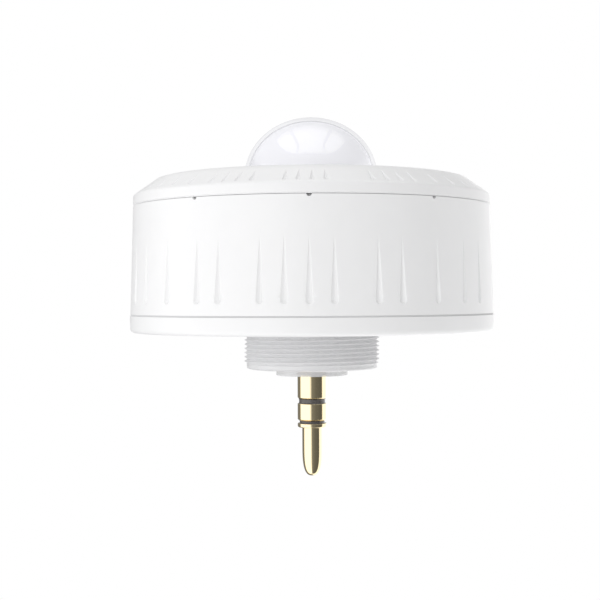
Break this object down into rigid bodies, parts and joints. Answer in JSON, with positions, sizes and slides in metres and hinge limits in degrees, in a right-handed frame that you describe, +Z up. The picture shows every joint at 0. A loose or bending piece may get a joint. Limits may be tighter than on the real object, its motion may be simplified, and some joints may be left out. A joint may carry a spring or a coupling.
{
  "type": "weather station sensor head",
  "caption": "Round sealed weather sensor head with a dome on top, a threaded mounting stub and a three-contact plug underneath; its top cover lifts off and its plug tip is sprung.",
  "frame": {"origin": "centre of the base cover's underside, where the threaded stub leaves the drum", "axes": "+Z up along the drum's axis towards the dome, -Z down the threaded stub and plug, -Y the front"},
  "size_m": [0.1284, 0.1284, 0.1273],
  "materials": {
    "white_housing": "satin",
    "coupling_grey": "satin",
    "clear_dome": "polished",
    "opal": "satin",
    "silicone": "matte",
    "black_rubber": "matte",
    "frosted": "matte",
    "gold": "polished",
    "black_plastic": "matte",
    "board_green": "satin",
    "steel": "brushed",
    "chip_black": "matte",
    "capacitor_sleeve": "satin",
    "wire_red": "matte",
    "wire_black": "matte",
    "wire_white": "matte",
    "flat_cable": "matte"
  },
  "bodies": {
    "housing": {"base_cover": "white_housing", "base_screw_1": "steel", "base_screw_2": "steel", "base_screw_3": "steel", "base_screw_4": "steel", "base_seal": "silicone", "board_spacer_1": "steel", "board_spacer_2": "steel", "board_spacer_3": "steel", "body_shell": "white_housing", "climate_sensor": "opal", "contact_washer": "frosted", "coupling_screw_1": "steel", "coupling_screw_2": "steel", "coupling_screw_3": "steel", "coupling_screw_4": "steel", "coupling_seal": "black_rubber", "light_sensor": "chip_black", "main_board": "board_green", "main_board_screw_1": "steel", "main_board_screw_2": "steel", "main_board_screw_3": "steel", "main_board_screw_4": "steel", "main_board_socket": "wire_white", "plug_header": "wire_white", "plug_lower_insulator": "black_plastic", "plug_nut": "steel", "plug_ring_contact": "gold", "plug_sleeve": "gold", "plug_tip_barrel": "gold", "plug_tip_spring": "steel", "plug_upper_insulator": "black_plastic", "power_capacitor": "capacitor_sleeve", "power_inductor": "chip_black", "pressure_vent": "black_plastic", "processor_chip": "chip_black", "ring_wire": "wire_white", "sensor_board": "board_green", "sensor_board_screw_1": "steel", "sensor_board_screw_2": "steel", "sensor_board_screw_3": "steel", "sensor_board_socket": "wire_white", "sensor_cable": "flat_cable", "sleeve_wire": "wire_black", "threaded_coupling": "coupling_grey", "tip_wire": "wire_red", "ultraviolet_sensor": "chip_black"},
    "cover": {"top_cover": "white_housing", "cover_seal": "silicone", "dome": "clear_dome", "dome_seal": "silicone", "diffuser": "opal", "dome_clamp_ring": "white_housing", "dome_clamp_screw_1": "steel", "dome_clamp_screw_2": "steel", "dome_clamp_screw_3": "steel", "dome_clamp_screw_4": "steel"},
    "tip": {"plug_tip_plunger": "gold", "plug_tip_clip": "steel"}
  },
  "joints": [
    {"name": "cover_lift", "type": "slide", "parent": "housing", "child": "cover", "axis": [0, 0, 1], "range_m": [0, 0.06]},
    {"name": "tip_press", "type": "slide", "parent": "housing", "child": "tip", "axis": [0, 0, 1], "range_m": [0, 0.002], "stiffness_N_per_m": 1500, "springref_m": -0.002, "deforming": ["plug_tip_spring"]}
  ]
}
